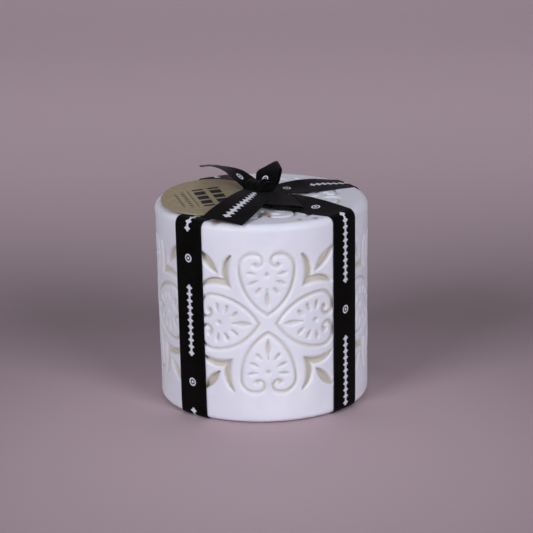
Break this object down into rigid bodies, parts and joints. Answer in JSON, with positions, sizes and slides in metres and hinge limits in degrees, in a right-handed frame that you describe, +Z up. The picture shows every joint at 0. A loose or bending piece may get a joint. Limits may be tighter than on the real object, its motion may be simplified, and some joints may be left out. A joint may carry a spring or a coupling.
{
  "type": "gift-tied pillar candle",
  "caption": "Short carved pillar candle for a wedding table, tied both ways with satin ribbon that holds a round gold label under its bow.",
  "frame": {"origin": "on the surface it stands on, at the middle of the underside of the crossing ribbons, under the candle's axis", "axes": "+Z up along the candle's axis, -Y towards the front, +X to the viewer's right"},
  "size_m": [0.076, 0.0761, 0.0847],
  "materials": {
    "wax": "smooth soft-white candle wax, slightly translucent",
    "cotton": "braided cotton, waxed",
    "tin": "pressed tinplate",
    "gold_card": "satin champagne-gold card",
    "satin": "black satin ribbon with a white repeat print"
  },
  "bodies": {
    "root": {"wax_body": "wax", "wick": "cotton", "wick_tab": "tin", "gold_label": "gold_card", "ribbon_side_front_left": "satin", "ribbon_side_front_right": "satin", "ribbon_side_back_right": "satin", "ribbon_side_back_left": "satin", "ribbon_top_front_left": "satin", "ribbon_top_front_right": "satin", "ribbon_top_back_right": "satin", "ribbon_top_back_left": "satin", "ribbon_base_lower": "satin", "ribbon_base_upper": "satin", "ribbon_knot": "satin", "ribbon_loop_rear": "satin", "ribbon_loop_right": "satin", "ribbon_tail_front": "satin", "ribbon_tail_rear": "satin"}
  },
  "joints": []
}
